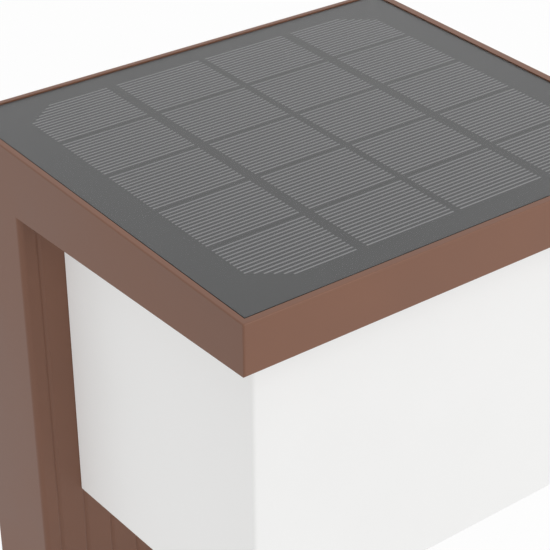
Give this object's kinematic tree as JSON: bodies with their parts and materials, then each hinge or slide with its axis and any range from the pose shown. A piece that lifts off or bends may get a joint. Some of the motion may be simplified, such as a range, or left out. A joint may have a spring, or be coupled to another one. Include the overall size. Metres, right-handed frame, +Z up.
{
  "type": "solar fence light",
  "caption": "Solar fence light: thick roof with a solar panel in a shallow tray, opal light box under it, and a fluted rear housing that hangs on a screwed steel bracket.",
  "frame": {"origin": "middle of the bracket's two screw holes, on the face of the fence", "axes": "+X to the lamp's right as seen from its front, +Y into the fence, +Z up"},
  "size_m": [0.15, 0.128, 0.165],
  "materials": {
    "brown_plastic": "fine satin texture",
    "clear_sheet": "clear film, smooth",
    "solar_cell": "dark grey with fine pale fingers, laminated",
    "cell_film": "dark grey, laminated",
    "panel_board": "resin board",
    "black_rubber": "matte",
    "opal_plastic": "opal white, satin, lets light through",
    "seal_foam": "closed foam cord",
    "aluminium_board": "white lacquer on metal",
    "light_source": "pale yellow filling",
    "white_sheet": "white film",
    "circuit_board": "green lacquer",
    "chip_plastic": "moulded",
    "ferrite": "dark grey ceramic with wire",
    "can_aluminium": "smooth",
    "white_plastic": "moulded",
    "cell_wrap": "shrink film",
    "black_plastic": "moulded",
    "spring_steel": "bright wire",
    "plated_steel": "zinc plated",
    "wire_sleeve": "soft sleeve"
  },
  "bodies": {
    "bracket": {"wall_bracket": "plated_steel"},
    "lamp": {"main_body": "brown_plastic", "solar_cover": "clear_sheet", "solar_cells": "solar_cell", "cell_film": "cell_film", "solar_board": "panel_board", "panel_seal": "black_rubber", "diffuser": "opal_plastic", "diffuser_seal": "seal_foam", "diffuser_screws": "plated_steel", "led_board": "aluminium_board", "leds": "light_source", "reflector_sheet": "white_sheet", "led_board_screws": "plated_steel", "led_leads": "wire_sleeve", "lead_grommet": "black_rubber", "panel_leads": "wire_sleeve", "control_board": "circuit_board", "driver_chip": "chip_plastic", "inductor": "ferrite", "capacitor": "can_aluminium", "lead_connectors": "white_plastic", "control_board_screws": "plated_steel", "battery_cell": "cell_wrap", "battery_cradle": "black_plastic", "battery_spring": "spring_steel", "battery_contacts": "plated_steel", "battery_leads": "wire_sleeve", "cradle_screws": "plated_steel", "rear_cover": "brown_plastic", "rear_seal": "seal_foam", "rear_cover_screws": "plated_steel", "switch_body": "black_plastic", "switch_spring": "spring_steel", "switch_board": "circuit_board", "switch_screws": "plated_steel", "switch_leads": "wire_sleeve"},
    "button": {"power_button": "black_rubber", "button_seal": "black_rubber"}
  },
  "joints": [
    {"name": "lift_off", "type": "slide", "parent": "bracket", "child": "lamp", "axis": [0, 0, 1], "range_m": [0, 0.0055]},
    {"name": "button_press", "type": "slide", "parent": "lamp", "child": "button", "axis": [0, 0, 1], "range_m": [0, 0.0012], "stiffness_N_per_m": 800, "springref_m": -0.002, "deforming": ["switch_spring"]}
  ]
}
